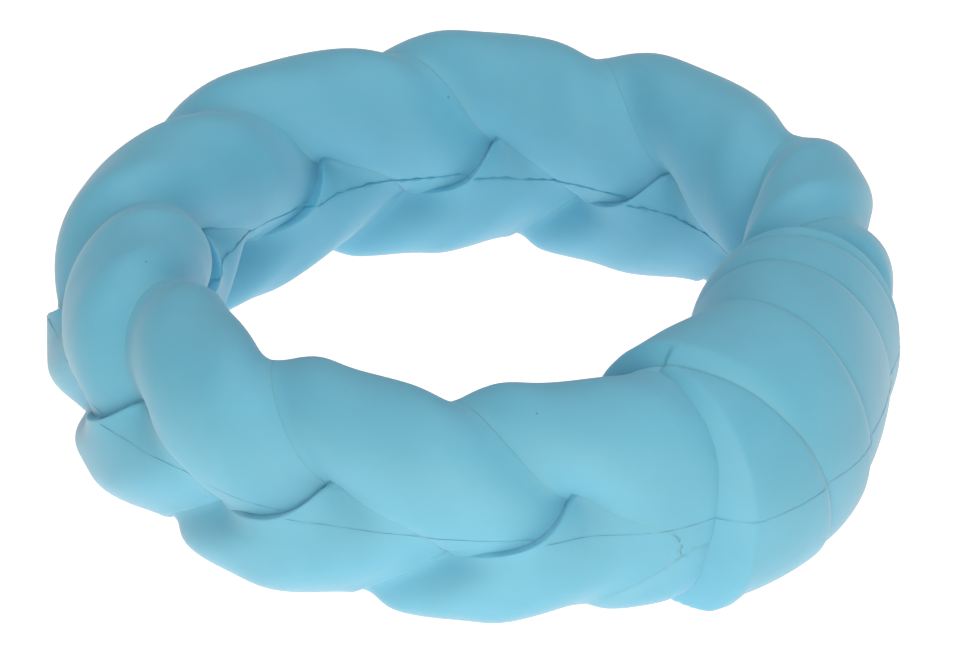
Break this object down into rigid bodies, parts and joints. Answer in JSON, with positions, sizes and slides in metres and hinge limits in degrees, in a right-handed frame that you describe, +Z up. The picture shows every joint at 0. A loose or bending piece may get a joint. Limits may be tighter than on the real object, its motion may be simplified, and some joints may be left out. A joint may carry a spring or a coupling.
{
  "type": "dog ring toy",
  "caption": "Soft rubber dog chew ring shaped as a plait of broad strands, with a wound band over the join; lies flat, to be bitten, tugged, rolled and thrown.",
  "frame": {"origin": "under the middle of the ring's outline, on the surface that it lies on", "axes": "+Z up along the ring's axis; +Y away from the picture's viewer, +X to its right, with the wound band at the near right"},
  "size_m": [0.1472, 0.1492, 0.043],
  "materials": {
    "blue_rubber": "matte moulded soft rubber, light blue"
  },
  "bodies": {
    "root": {"strand_a": "blue_rubber", "strand_b": "blue_rubber", "strand_c": "blue_rubber", "wrap_band": "blue_rubber"}
  },
  "joints": []
}
